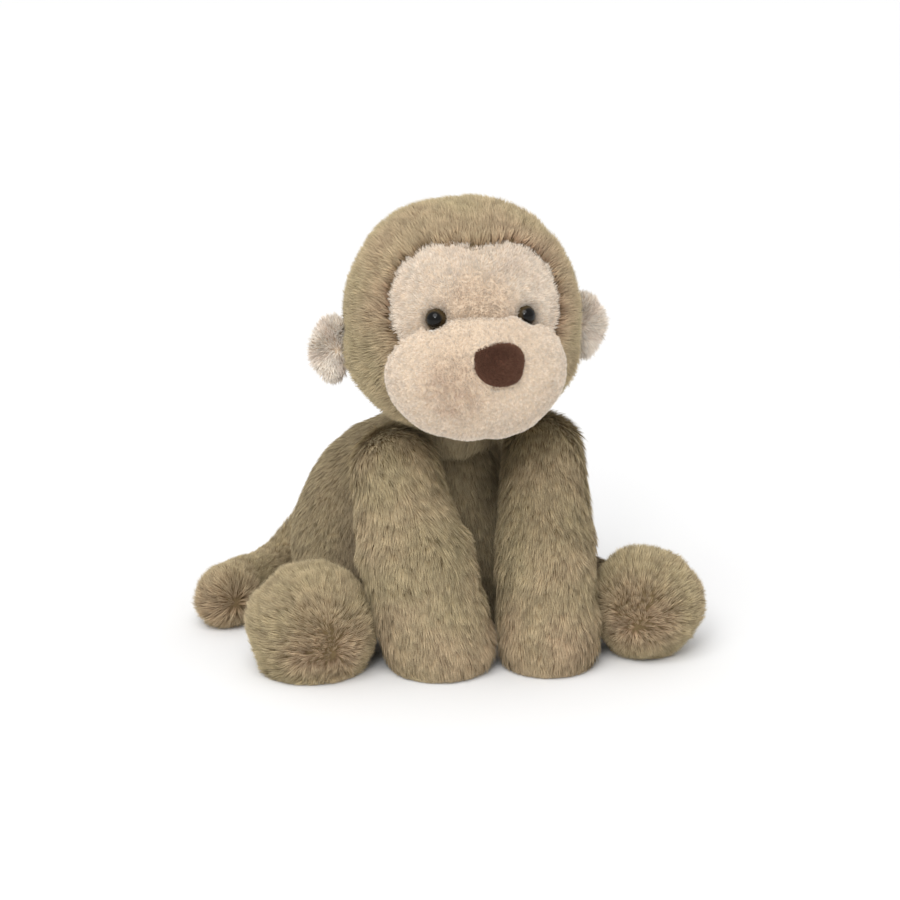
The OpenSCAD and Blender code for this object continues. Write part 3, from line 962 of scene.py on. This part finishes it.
def makeArm(number, side):
    skin = skinAround("armSkin_" + side, [part + side for part in (
        "arm_shell_", "paw_panel_", "arm_stuffing_", "paw_pellet_bag_")], limbSkin)
    co = coordsOf(skin.data)
    shoulder, paw = pivotOf("arm_swing_" + side), centreOf("paw_panel_" + side)
    lengthwise = unit(paw - shoulder)
    distance = (co - shoulder) @ lengthwise
    middle = shoulder + np.outer(distance, lengthwise)
    overShoulder = smoothStep(*armPile["shoulderSpan"], distance)
    comb = lengthwise + (co - middle) * armPile["outward"] + np.outer(overShoulder, armPile["shoulderBack"])
    warm = armPile["warmthAndShade"] + armPile["pawWarmth"] * smoothStep(*armPile["pawSpan"], distance)
    upper, lower = halves(co, 2, (shoulder[2] + paw[2]) / 2)
    furOver(skin, "arm_" + side, brownFur, comb,
            {"armFurUpper_" + side: upper, "armFurLower_" + side: lower}, 60 + 2 * number,
            length=armPile["length"], lift=armPile["lift"],
            warm=np.clip(warm + 0.3 * waves(co, 0.02, 34 + number), 0, 0.75))
    dress(skin, "arm_" + side, ["arm_shell_" + side, "paw_panel_" + side], brownBacking)


def makeLeg(number, side):
    skin = skinAround("legSkin_" + side, ["leg_shell_" + side, "leg_stuffing_" + side], limbSkin)
    count = len(skin.data.vertices)
    comb = np.tile(unit(centreOf("foot_stuffing_" + side) - pivotOf("leg_spread_" + side)), (count, 1))
    # the leg's strands and backing are darkened with painted shade, where the leg sits between the body and
    # the foot
    furOver(skin, "leg_" + side, brownFur, comb, {"legFur_" + side: np.ones(count)},
            70 + number, length=legPile["length"], lift=legPile["lift"], smudge=legPile["shade"])
    dress(skin, "leg_" + side, ["leg_shell_" + side], brownBacking)


def makeFoot(number, side):
    # the pile swirls out from the middle of the sole
    skin = skinAround("footSkin_" + side, [part + side for part in (
        "foot_shell_", "sole_panel_", "foot_stuffing_", "foot_pellet_bag_")], limbSkin)
    co = coordsOf(skin.data)
    fromSole = co - centreOf("sole_panel_" + side)
    nearSole = 1 - smoothStep(*footPile["soleReach"], np.linalg.norm(fromSole, axis=1))
    aside, up = (waves(co, footPile["swirlSize"], seed + number) for seed in (41, 44))
    swirl = np.stack([aside, np.zeros(len(co)), up], axis=1) * (footPile["swirl"] * nearSole)[:, None]
    warm = footPile["soleWarmth"] * nearSole + 0.25 * waves(co, 0.018, 36 + number)
    furOver(skin, "leg_" + side, brownFur, fromSole + swirl,
            {"footFur_" + side: np.ones(len(co))}, 80 + number,
            length=footPile["length"] - footPile["soleShorter"] * nearSole,
            lift=footPile["lift"] + footPile["soleLift"] * nearSole, warm=np.clip(warm, 0, 0.85))
    dress(skin, "leg_" + side, ["foot_shell_" + side, "sole_panel_" + side], brownBacking)


def makeTail():
    # the pile starts from the face of the fuller tip, which lies on the ground
    skin = skinAround("tailSkin", ["tail_shell", "tail_stuffing"], limbSkin)
    co = coordsOf(skin.data)
    low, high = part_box("tail_shell")
    tipFace = np.array((low.x + tailPile["tipRadius"] + tailPile["tipAside"], low.y, tailPile["tipRadius"]))
    fromTip = co - tipFace
    nearTip = 1 - smoothStep(*tailPile["tipReach"], np.linalg.norm(fromTip, axis=1))
    warm = tailPile["tipWarmth"] * nearTip + 0.2 * waves(co, 0.015, 38)
    furOver(skin, "tail", brownFur, fromTip, {"tailFur": np.ones(len(co))}, 90,
            length=tailPile["length"] + tailPile["tipLength"] * nearTip,
            lift=tailPile["lift"] + tailPile["tipLift"] * nearTip, warm=np.clip(warm, 0, 0.7))
    dress(skin, "tail", ["tail_shell"], brownBacking)


for number, side in enumerate(sides):
    makeArm(number, side)
    makeLeg(number, side)
    makeFoot(number, side)
makeTail()
print("limbs done")


# Ears, ruffled toward their edges

earSkin = dict(voxel=0.0014, smooth=6, inset=0.0008, bumps=[(0.012, 0.0004, 11)])
earFolds = dict(count=4.5, height=0.0024, forward=0.0015, rootSpan=(0.004, 0.016), warmthAndShade=0.4)


def makeEar(number, side):
    skin = skinAround("earSkin_" + side, ["ear_front_" + side, "ear_back_" + side], earSkin)
    co = coordsOf(skin.data)
    root = pivotOf("ear_fold_" + side)
    reach = co - root
    angle = np.arctan2(reach[:, 2], reach @ faceAcross * (1 if side == "left" else -1))
    fold = np.sin(angle * earFolds["count"] + number)
    outer = smoothStep(*earFolds["rootSpan"], np.linalg.norm(reach, axis=1))
    co = co + np.outer((fold * earFolds["height"] + earFolds["forward"]) * outer, faceAhead)
    setCoords(skin.data, co)
    skin.data.shade_smooth()
    # the warm tint is strongest in the hollows of the ruffles and toward the root: painted shade
    warm = np.clip(0.05 - earFolds["warmthAndShade"] * fold, 0, 0.6) * (1 - 0.5 * outer)
    furOver(skin, "ear_" + side, earFur, co - root, {"earFur_" + side: np.ones(len(co))},
            100 + number, length=1.6, lift=0.42, warm=warm)
    dress(skin, "ear_" + side, ["ear_front_" + side, "ear_back_" + side], creamBacking)


for number, side in enumerate(sides):
    makeEar(number, side)
print("ears done")


# Inner pieces keep their solids

def plainCloth(name, look):
    material, tree, shader = newMaterial(name, roughness=0.9)
    patches = placeMottle(tree, look)
    tree.links.new(patches.outputs["Color"], shader.inputs["Base Color"])
    return material


innerLooks = {
    "stuffing": dict(name="white fibre", base=(0.82, 0.8, 0.76), tint=(0.9, 0.89, 0.87), broadScale=50.0,
                     fineScale=400.0, strength=0.8),
    "pellet_bag": dict(name="bag cloth", base=(0.72, 0.66, 0.53), tint=(0.8, 0.75, 0.64), broadScale=80.0,
                       fineScale=900.0, strength=0.8),
    "washer": dict(name="washer plastic", base=(0.78, 0.78, 0.76), tint=(0.84, 0.84, 0.83), broadScale=60.0,
                   fineScale=700.0, strength=0.6)}
for word, look in innerLooks.items():
    material = plainCloth(look["name"], look)
    for name, node in nodes.items():
        if word in name:
            node.data.materials.clear()
            node.data.materials.append(material)
print("inner pieces done")


# Floor, light and camera

stageLook = dict(floorSize=80.0, floorColour=(0.93, 0.93, 0.93, 1), worldStrength=0.7)
half = stageLook["floorSize"] / 2
floorMesh = bpy.data.meshes.new("floor")
corners = [(-half, -half, 0), (half, -half, 0), (half, half, 0), (-half, half, 0)]
floorMesh.from_pydata(corners, [], [(0, 1, 2, 3)])
floorMaterial, _, floorShader = newMaterial("floor paper", roughness=0.9)
floorShader.inputs["Base Color"].default_value = stageLook["floorColour"]
floor = newObject("floor", floorMesh, floorMaterial)

world = bpy.data.worlds.new("studio")
scene.world = world
world.use_nodes = True
background = world.node_tree.nodes["Background"]
background.inputs["Color"].default_value = (1, 1, 1, 1)
background.inputs["Strength"].default_value = stageLook["worldStrength"]

# a soft sun from above the toy's right, and a small disk that only makes the glints in the eyes
keyLook = dict(toLight=(-0.55, -0.9, 1.5), strength=1.5, spread=45.0)
keyLight = bpy.data.lights.new("key", "SUN")
keyLight.energy = keyLook["strength"]
keyLight.angle = math.radians(keyLook["spread"])
key = bpy.data.objects.new("key", keyLight)
key.rotation_euler = Vector(keyLook["toLight"]).to_track_quat("Z", "Y").to_euler()
scene.collection.objects.link(key)

glintLook = dict(at=(-0.5, -1.1, 0.9), aim=(0, -0.04, 0.1), size=0.35, power=3.0)
glintLight = bpy.data.lights.new("glint", "AREA")
glintLight.shape = "DISK"
glintLight.size = glintLook["size"]
glintLight.energy = glintLook["power"]
glint = bpy.data.objects.new("glint", glintLight)
glint.location = glintLook["at"]
beam = Vector(glintLook["aim"]) - Vector(glintLook["at"])
glint.rotation_euler = beam.to_track_quat("-Z", "Y").to_euler()
scene.collection.objects.link(glint)

cameraLook = dict(azimuth=-16.0, elevation=16.0, distance=1.3, lens=104.0, aim=(-0.0034, -0.069, 0.1033))
azimuth, elevation = math.radians(cameraLook["azimuth"]), math.radians(cameraLook["elevation"])
towards = Vector((math.sin(azimuth) * math.cos(elevation), -math.cos(azimuth) * math.cos(elevation),
                  math.sin(elevation)))
lens = bpy.data.cameras.new("camera")
lens.lens = cameraLook["lens"]
lens.clip_start = 0.05
camera = bpy.data.objects.new("camera", lens)
camera.location = Vector(cameraLook["aim"]) + towards * cameraLook["distance"]
camera.rotation_euler = towards.to_track_quat("Z", "Y").to_euler()
scene.collection.objects.link(camera)
scene.camera = camera
scene.view_settings.view_transform = "Standard"

print("scene ready")
